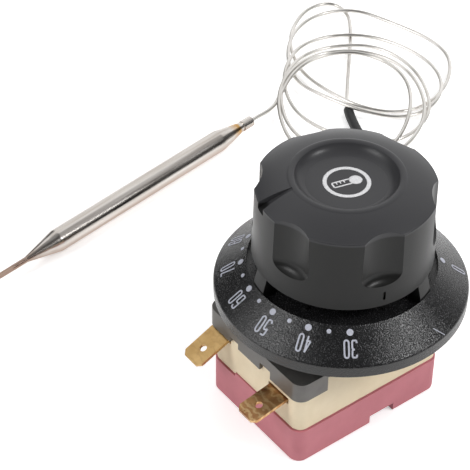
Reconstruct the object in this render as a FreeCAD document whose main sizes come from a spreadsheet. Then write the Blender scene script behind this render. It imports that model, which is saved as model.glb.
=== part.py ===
import FreeCAD, Part
import math
import os
import Sketcher

V = FreeCAD.Vector
doc = FreeCAD.newDocument("CapillaryControl")
sheet = doc.addObject("Spreadsheet::Sheet", "Sizes")


class Dim:
    """A size: its number, and the expression over the sheet that gives it."""

    def __init__(self, value, text):
        self.value = float(value)
        self.text = text

    def join(self, other, sign, value, swap=False):
        text = other.text if isinstance(other, Dim) else repr(other)
        first, second = (text, self.text) if swap else (self.text, text)
        return Dim(value, "(%s %s %s)" % (first, sign, second))

    def __add__(self, other):
        return self.join(other, "+", self.value + number(other))

    def __radd__(self, other):
        return self.join(other, "+", self.value + number(other), True)

    def __sub__(self, other):
        return self.join(other, "-", self.value - number(other))

    def __rsub__(self, other):
        return self.join(other, "-", number(other) - self.value, True)

    def __mul__(self, other):
        return self.join(other, "*", self.value * number(other))

    def __rmul__(self, other):
        return self.join(other, "*", self.value * number(other), True)

    def __truediv__(self, other):
        return self.join(other, "/", self.value / number(other))

    def __neg__(self):
        return Dim(-self.value, "(-1 * %s)" % self.text)


def number(item):
    return item.value if isinstance(item, Dim) else float(item)


row_count = 0


def size(alias, value, note):
    """Write one driving dimension in the sheet and hand back its Dim."""
    global row_count
    row_count += 1
    sheet.set("A%d" % row_count, note)
    sheet.set("B%d" % row_count, repr(float(value)))
    sheet.setAlias("B%d" % row_count, alias)
    return Dim(value, "Sizes." + alias)


def bind(item, prop, dim):
    """Set a property to a number, or bind it to the sheet."""
    if isinstance(dim, Dim):
        item.setExpression(prop, dim.text)
    else:
        item.setExpression(prop, repr(float(dim)))


# Heights are above the base plane, and the shaft's axis is x = y = 0.
clearance = size("running_gap", 0.05, "radial running clearance of shaft, pins and bores")
seat_gap = size("seat_gap", 0.1, "clearance between parts that slide past or fit over each other")

# Knob and dial
dial_radius = size("dial_radius", 29.0, "outer radius of the dial ring")
dial_rise = size("dial_rise", 4.1, "gap for the panel, bracket to the dial rim's lower edge")
dial_rim = size("dial_rim", 2.8, "height of the dial's upright rim")
dial_wall = size("dial_wall", 1.6, "thickness of the dial")
dial_cone = size("dial_cone", 5.6, "rise of the dial's sloping face")
dial_step = size("dial_step", 1.4, "depth of the dial's floor below its inner edge")
knob_radius = size("knob_radius", 20.5, "radius of the grip at its lower edge")
mouth_gap = size("mouth_gap", 1.1, "grip's lower edge to the dial's inner edge")
knob_draft = size("knob_draft", 0.3, "how much smaller the grip is at its top edge")
grip_rise = size("grip_rise", 3.5, "gap between the dial's inner edge and the grip's wall")
knob_edge = size("knob_edge", 18.2, "height of the grip's wall")
knob_crown = size("knob_crown", 2.8, "rise of the crowned top above the wall's edge")
knob_wall = size("knob_wall", 2.2, "thickness of the grip's wall and top")
dish_radius = size("dish_radius", 12.3, "radius of the dish in the knob's top")
dish_depth = size("dish_depth", 2.2, "depth of that dish")
dish_slope = size("dish_slope", 3.2, "width of the dish's curved side")
dish_lip = size("dish_lip", 0.8, "width of the soft lip of the dish")
lip_drop = size("lip_drop", 0.3, "how far that lip falls to each side")
lip_bend = size("lip_bend", 1.6, "bend radius of the lip")
dish_bend = size("dish_bend", 3.4, "bend radius of the dish's side")
crown_bend = size("crown_bend", 26.0, "bend radius of the crowned top")
edge_bend = size("edge_bend", 0.35, "radius of the edge between wall and top")
scallop_count = size("scallop_count", 6, "number of finger scallops")
scallop_radius = size("scallop_radius", 9.5, "radius of a scallop")
scallop_depth = size("scallop_depth", 1.7, "how deep a scallop cuts in")
scallop_reach = size("scallop_reach", 12.7, "how far a scallop comes down the wall")
scallop_turn = size("scallop_turn", 44.5, "angle of the first scallop")
scallop_foot = size("scallop_foot", 2.4, "height of the rounded foot of a scallop")
foot_bend = size("foot_bend", 2.6, "bend radius of that foot")
notch_turn = size("notch_turn", -105.5, "angle of the index notch on the top")
notch_width = size("notch_width", 3.4, "width of the index notch at its outer end")
notch_length = size("notch_length", 7.4, "length of the index notch")
notch_depth = size("notch_depth", 1.5, "depth of the index notch at its outer end")
notch_tip = size("notch_tip", 0.8, "width of the index notch at its inner end")
mark_turn = size("mark_turn", -14.0, "angle of the small slot low on the wall")
mark_width = size("mark_width", 0.6, "width of that slot")
mark_low = size("mark_low", 1.6, "wall's lower edge to the slot")
mark_height = size("mark_height", 2.2, "height of that slot")
mark_depth = size("mark_depth", 0.7, "depth of that slot")
web_turn = size("web_turn", 20.0, "angle of the first web under the grip")
web_sweep = size("web_sweep", 12.0, "angle that a web takes up")
hub_radius = size("hub_radius", 6.5, "radius of the knob's hub in the dial")
hub_shoulder = size("hub_shoulder", 8.5, "radius of the hub above the dial's floor")
hub_drop = size("hub_drop", 3.0, "how far the hub reaches below the dial's floor")

# Shaft, bush and stops
shaft_radius = size("shaft_radius", 3.0, "radius of the control shaft")
shaft_reach = size("shaft_reach", 10.1, "grip's lower edge to the shaft's upper end")
shaft_bevel = size("shaft_bevel", 0.5, "bevel at the shaft's upper end")
flat_depth = size("flat_depth", 1.4, "depth of the flat on the shaft")
flat_length = size("flat_length", 14.0, "length of that flat")
clip_thick = size("clip_thick", 0.5, "thickness of the knob's clip spring")
clip_width = size("clip_width", 3.6, "width of the clip spring")
clip_length = size("clip_length", 9.0, "length of the clip spring")
bush_radius = size("bush_radius", 4.9, "outer radius of the bush")
bush_rise = size("bush_rise", 3.2, "height of the bush above the bracket")
bush_flange = size("bush_flange", 6.5, "radius of the bush's flange")
flange_thick = size("flange_thick", 1.8, "thickness of that flange")
ring_thick = size("ring_thick", 0.6, "thickness of the retaining ring")
ring_radius = size("ring_radius", 4.6, "outer radius of the retaining ring")
ring_groove = size("ring_groove", 0.5, "depth of its groove in the shaft")
disc_radius = size("disc_radius", 6.0, "radius of the stop disc")
disc_thick = size("disc_thick", 1.2, "thickness of the stop disc")
nib_height = size("nib_height", 1.4, "height of a stop nib")
nib_inner = size("nib_inner", 3.9, "inner radius of the stop nibs")
fixed_nib = size("fixed_nib", 44.0, "angle that the fixed stop nib takes up")
disc_nib = size("disc_nib", 40.0, "angle that the turning stop nib takes up")
stop_margin = size("stop_margin", 1.2, "angle left between the nibs at each end of the travel")
thread_radius = size("thread_radius", 2.5, "radius of the shaft's threaded end")

# Bracket and ceramic housings
body_half = size("body_half", 16.35, "half the width of the base")
body_front = size("body_front", 24.65, "shaft axis to the terminals' face of the base")
body_back = size("body_back", 17.95, "shaft axis to the back of the base")
body_round = size("body_round", 2.8, "radius of the base's upright corners")
base_height = size("base_height", 9.7, "height of the base")
deck_thick = size("deck_thick", 2.2, "thickness of the base's deck")
cream_inset = size("cream_inset", 0.4, "how far the switch housing stands in from the base")
cream_height = size("cream_height", 14.5, "height of the switch housing")
cream_wall = size("cream_wall", 2.6, "wall of the switch housing")
cream_roof = size("cream_roof", 2.0, "roof of the switch housing")
cream_block = size("cream_block", 5.75, "solid block at the back of the switch housing")
seam_cut = size("seam_cut", 0.35, "bevel that makes the seam between the housings")
land_left = size("land_left", 7.0, "axis to the left end of the raised land on the base")
land_right = size("land_right", 4.6, "axis to the right end of that land")
land_rise = size("land_rise", 1.0, "rise of the land")
land_thick = size("land_thick", 1.6, "thickness of the land")
plate_thick = size("plate_thick", 1.2, "thickness of the bracket's plate")
flange_wall = size("flange_wall", 0.9, "thickness of the bracket's folded edge")
flange_drop = size("flange_drop", 4.0, "how far the folded edge comes down")
flange_side = size("flange_side", 8.2, "length of the folded edge along the sides")
gap_left = size("gap_left", 8.2, "axis to the left end of the first gap in the edge")
gap_left_end = size("gap_left_end", 5.2, "axis to the right end of the first gap")
gap_left_rise = size("gap_left_rise", 1.6, "height of the first gap")
gap_right = size("gap_right", 2.8, "axis to the left end of the second gap")
gap_right_end = size("gap_right_end", 6.6, "axis to the right end of the second gap")
gap_right_rise = size("gap_right_rise", 2.2, "height of the second gap")
mount_pitch = size("mount_pitch", 28.0, "distance between the two panel screw holes")
mount_radius = size("mount_radius", 1.65, "radius of a tapped hole for an M4 screw")
relief_gap = size("relief_gap", 0.6, "gap around a panel screw's end in the switch housing")
screw_in = size("screw_in", 6.35, "side of the base to each clamp screw")
screw_back = size("screw_back", 14.4, "axis to the clamp screws, towards the back")
screw_radius = size("screw_radius", 1.5, "radius of a clamp screw")
screw_head = size("screw_head", 2.7, "radius of its head")
head_thick = size("head_thick", 1.8, "thickness of its head")

# Base: recess, notches and cover
cover_thick = size("cover_thick", 0.8, "thickness of the base's cover plate")
cover_margin = size("cover_margin", 2.4, "wall of the base around the cover plate")
recess_wall = size("recess_wall", 3.75, "wall between the capsule's recess and the base's side")
recess_shift = size("recess_shift", 3.35, "shaft axis to the middle of the recess, forward")
notch_near = size("notch_near", 3.0, "axis to the front end of the notch in the side")
notch_far = size("notch_far", 4.2, "axis to the back end of that notch")
notch_rise = size("notch_rise", 2.4, "height of that notch")
exit_in = size("exit_in", 10.35, "left side of the base to the capillary's exit")
exit_height = size("exit_height", 2.3, "height of the capillary's axis at its exit")
exit_width = size("exit_width", 4.2, "width of the exit's notch")
exit_gap = size("exit_gap", 0.4, "gap above the sleeve in that notch")
pin_radius = size("pin_radius", 0.35, "radius of the thin pin in the side notch")
pin_length = size("pin_length", 2.6, "length of that pin")
pin_seat = size("pin_seat", 1.0, "how deep the pin sits in the base")
pin_in = size("pin_in", 2.0, "side of the base to that pin")
pin_along = size("pin_along", 0.6, "axis to that pin, towards the back")
foot_round = size("foot_round", 0.4, "radius of the base's lower edge")

# Terminals and contacts
tab_width = size("tab_width", 6.3, "width of a push-on tab")
tab_thick = size("tab_thick", 0.8, "thickness of a tab")
tab_root = size("tab_root", 0.45, "housing's face to the tab's bend")
tab_length = size("tab_length", 9.2, "length of a tab outside the housing")
tab_bevel = size("tab_bevel", 1.1, "corner bevel of a tab")
tab_hole = size("tab_hole", 0.9, "radius of the hole in a tab")
tab_hole_in = size("tab_hole_in", 4.1, "tab's end to the middle of its hole")
left_in = size("left_in", 3.65, "left side of the base to the middle of the left tab")
left_rise = size("left_rise", 9.2, "height of the left tab above the base")
left_bend = size("left_bend", 23.3, "how far the left tab is bent down, in degrees")
right_in = size("right_in", 7.75, "right side of the base to the middle of the right tab")
right_rise = size("right_rise", 7.3, "height of the right tab above the base")
right_bend = size("right_bend", 10.4, "how far the right tab is bent down, in degrees")
shank_width = size("shank_width", 3.3, "width of the left terminal inside the housing")
slot_gap = size("slot_gap", 0.45, "gap around a terminal in its slot")
contact_line = size("contact_line", 13.0, "axis to the line of the contacts, forward")
contact_radius = size("contact_radius", 1.75, "radius of a contact")
contact_thick = size("contact_thick", 0.6, "thickness of a contact")
arm_thick = size("arm_thick", 0.3, "thickness of the contact arm")
arm_width = size("arm_width", 5.0, "width of the contact arm")
bead_in = size("bead_in", 7.25, "left side of the base to the bead that the arm bends at")
bead_radius = size("bead_radius", 0.35, "radius of that bead")
strip_reach = size("strip_reach", 2.5, "how far the strips run in past the line of the contacts")
arch_radius = size("arch_radius", 4.0, "outer radius of the snap spring's arch")
arch_sink = size("arch_sink", 2.8, "how far the arch's centre lies below the arm's top")
arch_across = size("arch_across", -1.0, "axis to the middle of the snap spring")

# Lever train
nut_half = size("nut_half", 6.1, "half the width of the adjusting nut between its guides")
nut_depth = size("nut_depth", 8.0, "depth of the adjusting nut")
nut_gap = size("nut_gap", 0.8, "lever to the nut's lower face with the knob at 0")
nut_height = size("nut_height", 3.6, "height of the nut")
nut_floor = size("nut_floor", 0.3, "thickness of the nut's closed bottom")
nut_travel = size("nut_travel", 0.76, "how far the nut rises over the knob's whole turn")
guide_thick = size("guide_thick", 1.8, "thickness of the nut's guides")
guide_half = size("guide_half", 3.0, "half the depth of the nut's guides")
lever_rise = size("lever_rise", 2.1, "base to the lever's lower face")
lever_thick = size("lever_thick", 1.6, "thickness of the lever")
lever_half = size("lever_half", 3.4, "half the width of the lever")
pivot_back = size("pivot_back", 9.0, "axis to the lever's pivot, towards the back")
pivot_radius = size("pivot_radius", 0.6, "radius of the lever's pivot pin")
pivot_half = size("pivot_half", 8.3, "half the length of the pivot pin")
post_gap = size("post_gap", 0.3, "gap between the lever and each post that carries its pivot")
post_half = size("post_half", 2.0, "half the depth of a post")
post_sink = size("post_sink", 0.6, "how far the posts reach below the lever")
lever_tail = size("lever_tail", 1.5, "how far the lever runs past its pivot")
calibration_radius = size("calibration_radius", 1.0, "radius of the calibration screw")
calibration_head = size("calibration_head", 1.9, "radius of its head")
calibration_gap = size("calibration_gap", 0.3, "its head to the nut")
calibration_end = size("calibration_end", 0.8, "how far it reaches below the lever")
button_gap = size("button_gap", 0.2, "lever's button to the contact arm")
button_radius = size("button_radius", 1.5, "radius of the lever's insulating button")
capsule_gap = size("capsule_gap", 0.8, "gap around the diaphragm capsule")
capsule_thick = size("capsule_thick", 3.2, "thickness of the capsule's rim")
boss_gap = size("boss_gap", 4.8, "capsule's boss to the lever")
push_radius = size("push_radius", 1.2, "radius of the push pin")
push_gap = size("push_gap", 0.3, "gap at the push pin's ends with the contacts open")

# Capillary, sleeve and bulb
capillary_radius = size("capillary_radius", 0.55, "radius of the capillary")
sleeve_radius = size("sleeve_radius", 1.4, "outer radius of the sleeve")
sleeve_wall = size("sleeve_wall", 0.6, "wall of the sleeve")
bulb_radius = size("bulb_radius", 3.05, "radius of the bulb")
bulb_length = size("bulb_length", 59.0, "length of the bulb's cylinder")
bulb_across = size("bulb_across", -83.1, "axis to the middle of the bulb, across")
bulb_along = size("bulb_along", 1.0, "axis to the middle of the bulb, towards the back")
bulb_turn = size("bulb_turn", 8.8, "angle between the bulb and the depth direction")
tail_cone = size("tail_cone", 10.2, "length of the cone at the bulb's closed end")
tail_radius = size("tail_radius", 0.75, "radius of the pinched tail")
tail_length = size("tail_length", 10.2, "length of that tail")
pinch_half = size("pinch_half", 0.32, "half the thickness of the pinched end")
shoulder_bend = size("shoulder_bend", 2.0, "radius between the bulb's cylinder and its cones")
neck_cone = size("neck_cone", 9.3, "length of the cone at the capillary's end")
neck_radius = size("neck_radius", 1.3, "radius of the bulb's neck")
collar_radius = size("collar_radius", 1.55, "radius of the brazed collar")
collar_length = size("collar_length", 3.5, "length of the brazed collar")
coil_big = size("coil_big", 27.0, "radius of the coil's outline at its far end")
coil_small = size("coil_small", 20.5, "radius of the coil's outline at its near end")
coil_height = size("coil_height", 4.6, "height of the loose coil")
coil_far_x = size("coil_far_x", -101.0, "axis to the middle of the coil's far end, across")
coil_far_y = size("coil_far_y", 93.0, "axis to the middle of the coil's far end, back")
coil_near_x = size("coil_near_x", -73.0, "axis to the middle of the coil's near end, across")
coil_near_y = size("coil_near_y", 63.0, "axis to the middle of the coil's near end, back")

# Heights and places that follow from the sizes above
cream_top = base_height + cream_height
plate_top = cream_top + plate_thick
roof_low = cream_top - cream_roof
dial_low = plate_top + dial_rise
dial_top = dial_low + dial_rim + dial_cone
dial_mouth = knob_radius + mouth_gap
floor_top = dial_top - dial_step
knob_low = dial_top + grip_rise
knob_top = knob_low + knob_edge
shaft_top = knob_low + shaft_reach
screw_across = body_half - screw_in
recess_radius = body_half - recess_wall
capsule_radius = recess_radius - capsule_gap
exit_across = -(body_half - exit_in)
left_across = -(body_half - left_in)
left_height = base_height + left_rise
right_across = body_half - right_in
right_height = base_height + right_rise
bead_across = -(body_half - bead_in)
lever_low = base_height + lever_rise
cream_half = body_half - cream_inset
cream_front = body_front - cream_inset
cream_back = body_back - cream_inset
disc_top = cream_top - flange_thick - nib_height - seat_gap
disc_low = disc_top - disc_thick
lever_top = lever_low + lever_thick
nut_low = lever_top + nut_gap
capsule_boss = lever_low - boss_gap
arm_low = left_height + tab_thick / 2 + clearance


def body(name):
    return doc.addObject("PartDesign::Body", name)


def outline(owner, name, plane, corners, lift=0.0):
    """Closed outline on an origin plane of the body, each corner tied to the sheet.

    A third number at a corner bends the next side to that radius: its centre is
    on the left of the way to the next corner, or on the right when it is negative.
    """
    sketch = owner.newObject("Sketcher::SketchObject", name)
    base = [item for item in owner.Origin.OriginFeatures if item.Role == plane + "_Plane"][0]
    sketch.AttachmentSupport = [(base, "")]
    sketch.MapMode = "FlatFace"
    bind(sketch, "AttachmentOffset.Base.z", lift)
    points = [V(number(corner[0]), number(corner[1]), 0) for corner in corners]
    count = len(points)
    ends = []
    for i, corner in enumerate(corners):
        start, stop = points[i], points[(i + 1) % count]
        bend = number(corner[2]) if len(corner) > 2 else 0.0
        if not bend:
            sketch.addGeometry(Part.LineSegment(start, stop), False)
            ends.append((1, 2))
            continue
        half = (stop - start) * 0.5
        side = V(-half.y, half.x, 0).normalize() * math.copysign(1.0, bend)
        centre = start + half + side * math.sqrt(bend ** 2 - half.Length ** 2)
        first, last = (start, stop) if bend > 0 else (stop, start)
        angles = [math.atan2(point.y - centre.y, point.x - centre.x) for point in (first, last)]
        sketch.addGeometry(Part.ArcOfCircle(Part.Circle(centre, V(0, 0, 1), abs(bend)), *angles), False)
        ends.append((1, 2) if bend > 0 else (2, 1))
    for i in range(count):
        after = (i + 1) % count
        sketch.addConstraint(Sketcher.Constraint("Coincident", i, ends[i][1], after, ends[after][0]))
    for i, corner in enumerate(corners):
        for kind, dim in zip(("DistanceX", "DistanceY"), corner[:2]):
            key = sketch.addConstraint(Sketcher.Constraint(kind, -1, 1, i, ends[i][0], number(dim)))
            if isinstance(dim, Dim):
                sketch.setExpression("Constraints[%d]" % key, dim.text)
        if len(corner) > 2:
            key = sketch.addConstraint(Sketcher.Constraint("Radius", i, abs(number(corner[2]))))
            if isinstance(corner[2], Dim):
                sketch.setExpression("Constraints[%d]" % key, "abs(%s)" % corner[2].text)
    return sketch


def circles(owner, name, plane, rounds, lift=0.0):
    """Sketch of circles, each given as (x, y, radius)."""
    sketch = owner.newObject("Sketcher::SketchObject", name)
    base = [item for item in owner.Origin.OriginFeatures if item.Role == plane + "_Plane"][0]
    sketch.AttachmentSupport = [(base, "")]
    sketch.MapMode = "FlatFace"
    bind(sketch, "AttachmentOffset.Base.z", lift)
    for i, (x, y, radius) in enumerate(rounds):
        sketch.addGeometry(Part.Circle(V(number(x), number(y), 0), V(0, 0, 1), number(radius)), False)
        keys = [sketch.addConstraint(Sketcher.Constraint("DistanceX", -1, 1, i, 3, number(x))),
                sketch.addConstraint(Sketcher.Constraint("DistanceY", -1, 1, i, 3, number(y))),
                sketch.addConstraint(Sketcher.Constraint("Radius", i, number(radius)))]
        for key, dim in zip(keys, (x, y, radius)):
            if isinstance(dim, Dim):
                sketch.setExpression("Constraints[%d]" % key, dim.text)
    return sketch


def turn_sketch(sketch, axis, angle):
    """Turn a sketch about the knob's axis, given in the sketch's own directions."""
    offset = sketch.AttachmentOffset.Base
    sketch.AttachmentOffset = FreeCAD.Placement(offset, FreeCAD.Rotation(V(*axis), number(angle)))
    bind(sketch, "AttachmentOffset.Rotation.Angle", angle)
    return sketch


def rectangle(x0, y0, x1, y1):
    return [(x0, y0), (x1, y0), (x1, y1), (x0, y1)]


def pad(owner, sketch, length, name="Pad"):
    feature = owner.newObject("PartDesign::Pad", name)
    feature.Profile = sketch
    bind(feature, "Length", length)
    doc.recompute()
    return feature


def pocket(owner, sketch, length, upward=False, name="Pocket"):
    """Cut from the sketch, downward unless said; a cut that removes nothing is a mistake."""
    before = owner.Shape.Volume
    feature = owner.newObject("PartDesign::Pocket", name)
    feature.Profile = sketch
    feature.Reversed = upward
    bind(feature, "Length", length)
    doc.recompute()
    if owner.Shape.Volume > before - 1e-6:
        raise RuntimeError("%s: %s cuts nothing" % (owner.Name, feature.Name))
    return feature


def revolve(owner, sketch, angle=360.0, name="Revolution"):
    feature = owner.newObject("PartDesign::Revolution", name)
    feature.Profile = sketch
    feature.ReferenceAxis = (sketch, ["V_Axis"])
    bind(feature, "Angle", angle)
    doc.recompute()
    return feature


def ring_pattern(owner, sketch, feature, count, name="PolarPattern"):
    pattern = owner.newObject("PartDesign::PolarPattern", name)
    pattern.Originals = [feature]
    pattern.Axis = (sketch, ["N_Axis"])
    pattern.Angle = 360
    bind(pattern, "Occurrences", count)
    owner.Tip = pattern
    doc.recompute()
    return pattern


def round_edges(owner, feature, radius, pick, name="Fillet"):
    """Fillet the edges that pick chooses from the feature's shape."""
    chosen = ["Edge%d" % (i + 1) for i, edge in enumerate(feature.Shape.Edges) if pick(edge)]
    fillet = owner.newObject("PartDesign::Fillet", name)
    fillet.Base = (feature, chosen)
    bind(fillet, "Radius", radius)
    owner.Tip = fillet
    doc.recompute()
    return fillet


def upright(edge):
    """True for a straight edge along the height."""
    if edge.Curve.TypeId != "Part::GeomLine":
        return False
    return abs(edge.Curve.Direction.z) > 0.999


def at_height(height, round_only=False):
    """Chooser for the edges that lie all in one level."""
    def pick(edge):
        box = edge.BoundBox
        level = abs(box.ZMin - number(height)) < 1e-3 and abs(box.ZMax - number(height)) < 1e-3
        return level and (not round_only or edge.Curve.TypeId == "Part::GeomCircle")
    return pick


def place(item, x=0.0, y=0.0, z=0.0, axis=None, angle=None):
    """Bind a placement to the sheet."""
    if axis is not None:
        item.Placement = FreeCAD.Placement(V(0, 0, 0), FreeCAD.Rotation(V(*axis), number(angle)))
        bind(item, "Placement.Rotation.Angle", angle)
    for prop, dim in zip(("x", "y", "z"), (x, y, z)):
        bind(item, "Placement.Base." + prop, dim)


def box(name, x0, y0, z0, x1, y1, z1):
    item = doc.addObject("Part::Box", name)
    bind(item, "Length", x1 - x0)
    bind(item, "Width", y1 - y0)
    bind(item, "Height", z1 - z0)
    place(item, x0, y0, z0)
    return item


def cylinder(name, radius, height, x=0.0, y=0.0, z=0.0, axis=None, angle=None, sweep=None):
    item = doc.addObject("Part::Cylinder", name)
    bind(item, "Radius", radius)
    bind(item, "Height", height)
    if sweep is not None:
        bind(item, "Angle", sweep)
    place(item, x, y, z, axis, angle)
    return item


def cut(name, base, tool):
    item = doc.addObject("Part::Cut", name)
    item.Base = base
    item.Tool = tool
    return item


def fuse(name, *items):
    item = doc.addObject("Part::MultiFuse", name)
    item.Shapes = list(items)
    item.Refine = True
    return item


def tube(name, outer, inner, height, z, x=0.0, y=0.0):
    shell = cylinder(name + "_outside", outer, height, x, y, z)
    return cut(name, shell, cylinder(name + "_bore", inner, height + 2.0, x, y, z - 1.0))


def sector(name, outer, inner, height, z, start, sweep):
    """Part of a ring, from one angle on, anticlockwise."""
    shell = cylinder(name + "_outside", outer, height, 0.0, 0.0, z, (0, 0, 1), start, sweep)
    return cut(name, shell, cylinder(name + "_bore", inner, height + 2.0, 0.0, 0.0, z - 1.0))


nodes = {}


def keep(item, label):
    """Name a finished sub-part; its label names its file."""
    item.Label = label
    nodes[label] = item
    return item


def make_knob_grip():
    """Hollow grip; its own x axis runs through the first scallop."""
    grip = body("GripBody")
    hub_low = floor_top - hub_drop
    roof = knob_top - knob_wall
    top = knob_top + knob_crown
    rim = knob_radius - knob_draft
    dish_floor = top - dish_depth
    profile = outline(grip, "GripProfile", "XZ", [
        (0.0, hub_low), (hub_radius, hub_low), (hub_radius, floor_top), (hub_shoulder, floor_top),
        (hub_shoulder, roof), (rim - knob_wall, roof), (rim - knob_wall, knob_low),
        (knob_radius, knob_low), (rim, knob_top - edge_bend, edge_bend),
        (rim - edge_bend, knob_top, crown_bend), (dish_radius + dish_lip, top - lip_drop, lip_bend),
        (dish_radius - dish_lip, top - lip_drop, -dish_bend),
        (dish_radius - dish_slope, dish_floor), (0.0, dish_floor)])
    revolve(grip, profile, name="GripTurned")
    web = outline(grip, "WebProfile", "XZ", [
        (rim - knob_wall, floor_top), (dial_mouth - seat_gap * 2, floor_top),
        (dial_mouth - seat_gap * 2, dial_top), (knob_radius, knob_low), (rim - knob_wall, knob_low)])
    turn_sketch(web, (0, 1, 0), web_turn - scallop_turn)
    web_turned = revolve(grip, web, web_sweep, name="WebTurned")
    web_turned.Midplane = True
    ring_pattern(grip, circles(grip, "WebAxis", "XY", [(0.0, 0.0, 1.0)]), web_turned, 3, "Webs")
    foot = knob_top - scallop_reach
    scallop = outline(grip, "ScallopProfile", "XZ", [
        (0.0, foot), (scallop_foot - scallop_radius, foot, -foot_bend),
        (-scallop_radius, foot + scallop_foot), (-scallop_radius, top + 1.0), (0.0, top + 1.0)])
    bind(scallop, "AttachmentOffset.Base.x", rim + scallop_radius - scallop_depth)
    groove = grip.newObject("PartDesign::Groove", "ScallopCut")
    groove.Profile = scallop
    groove.ReferenceAxis = (scallop, ["V_Axis"])
    doc.recompute()
    ring_pattern(grip, circles(grip, "ScallopAxis", "XY", [(0.0, 0.0, 1.0)]), groove, scallop_count, "Scallops")
    inner = rim - notch_length
    index = outline(grip, "IndexNotch", "XY", [
        (inner, -notch_tip / 2), (rim + 3.0, -notch_width / 2), (rim + 3.0, notch_width / 2), (inner, notch_tip / 2)])
    fall = math.degrees(math.atan2(number(knob_crown + notch_depth), number(notch_length)))
    turned = FreeCAD.Rotation(V(0, 0, 1), number(notch_turn - scallop_turn))
    tilted = turned.multiply(FreeCAD.Rotation(V(0, 1, 0), fall))
    tip = turned.multVec(V(inner.value, 0, top.value - lip_drop.value))
    index.AttachmentOffset = FreeCAD.Placement(tip - tilted.multVec(V(inner.value, 0, 0)), tilted)
    index.setExpression("AttachmentOffset.Base.z", None)
    index_cut = pocket(grip, index, knob_crown + notch_depth * 2, True, "IndexCut")
    mark_middle = knob_low + mark_low + mark_height / 2
    mark = outline(grip, "WallMark", "YZ", rectangle(
        -mark_width / 2, mark_middle - mark_height / 2, mark_width / 2, mark_middle + mark_height / 2),
        knob_radius + 1.0)
    mark_spin = FreeCAD.Rotation(V(0, 1, 0), number(mark_turn - scallop_turn))
    mark.setExpression("AttachmentOffset.Base.z", None)
    mark.AttachmentOffset = FreeCAD.Placement(mark_spin.multVec(V(0, 0, knob_radius.value + 1.0)), mark_spin)
    pocket(grip, mark, mark_depth + 1.0, name="WallMarkCut")
    bore = circles(grip, "BoreCircle", "XY", [(0.0, 0.0, shaft_radius + clearance)], hub_low)
    pocket(grip, bore, shaft_top + seat_gap * 5 - hub_low, True, "Bore")
    slot = outline(grip, "ClipSlot", "XY", rectangle(
        -clip_width / 2 - seat_gap, shaft_radius - flat_depth, clip_width / 2 + seat_gap,
        shaft_radius + clip_thick + seat_gap), hub_low)
    turn_sketch(slot, (0, 0, 1), -scallop_turn)
    pocket(grip, slot, shaft_top + seat_gap * 5 - hub_low, True, "ClipSlotCut")
    place(grip, 0.0, 0.0, 0.0, (0, 0, 1), scallop_turn)
    return keep(grip, "knob_grip")


def make_dial_ring():
    dial = body("DialBody")
    profile = outline(dial, "DialProfile", "XZ", [
        (dial_radius, dial_low), (dial_radius, dial_low + dial_rim), (dial_mouth, dial_top),
        (dial_mouth - seat_gap, floor_top), (hub_radius + seat_gap, floor_top),
        (hub_radius + seat_gap, floor_top - dial_wall), (dial_mouth - dial_wall / 2, floor_top - dial_wall),
        (dial_radius - dial_wall, dial_low + dial_rim - dial_wall / 2), (dial_radius - dial_wall, dial_low)])
    turned = revolve(dial, profile, name="DialTurned")
    round_edges(dial, turned, 0.5, at_height(dial_low + dial_rim), "RimFillet")
    return keep(dial, "dial_ring")


def make_shaft():
    low = nut_low + nut_floor + nut_travel + seat_gap
    ring_low = plate_top + bush_rise + seat_gap
    shaft = body("ShaftBody")
    profile = outline(shaft, "ShaftProfile", "XZ", [
        (0.0, low), (thread_radius, low), (thread_radius, disc_low - 0.4), (shaft_radius, disc_low - 0.4),
        (shaft_radius, ring_low), (shaft_radius - ring_groove, ring_low),
        (shaft_radius - ring_groove, ring_low + ring_thick), (shaft_radius, ring_low + ring_thick),
        (shaft_radius, shaft_top - shaft_bevel), (shaft_radius - shaft_bevel, shaft_top), (0.0, shaft_top)])
    revolve(shaft, profile, name="ShaftTurned")
    flat = outline(shaft, "ShaftFlat", "XY", rectangle(
        -shaft_radius, shaft_radius - flat_depth, shaft_radius, shaft_radius + 1.0), shaft_top)
    pocket(shaft, flat, flat_length, name="FlatCut")
    keep(shaft, "control_shaft")
    spring_y = shaft_radius - flat_depth + seat_gap
    spring_top = shaft_top - shaft_bevel * 2
    keep(box("ClipSpring", -clip_width / 2, spring_y, spring_top - clip_length,
             clip_width / 2, spring_y + clip_thick, spring_top), "knob_clip_spring")
    keep(tube("RetainingRing", ring_radius, shaft_radius - ring_groove, ring_thick, ring_low), "retaining_ring")
    disc = tube("StopDiscPlate", disc_radius, shaft_radius, disc_thick, disc_low)
    nib = sector("DiscNib", disc_radius, nib_inner, nib_height, disc_top, fixed_nib / 2 + stop_margin, disc_nib)
    keep(fuse("StopDisc", disc, nib), "stop_disc")
    flange_low = cream_top - flange_thick
    flange = tube("BushFlange", bush_flange, shaft_radius + clearance, flange_thick, flange_low)
    barrel = tube("BushBarrel", bush_radius, shaft_radius + clearance, plate_thick + bush_rise, cream_top)
    stop = sector("BushNib", disc_radius, nib_inner, nib_height, flange_low - nib_height, -fixed_nib / 2, fixed_nib)
    keep(fuse("Bush", flange, barrel, stop), "shaft_bush")


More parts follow.
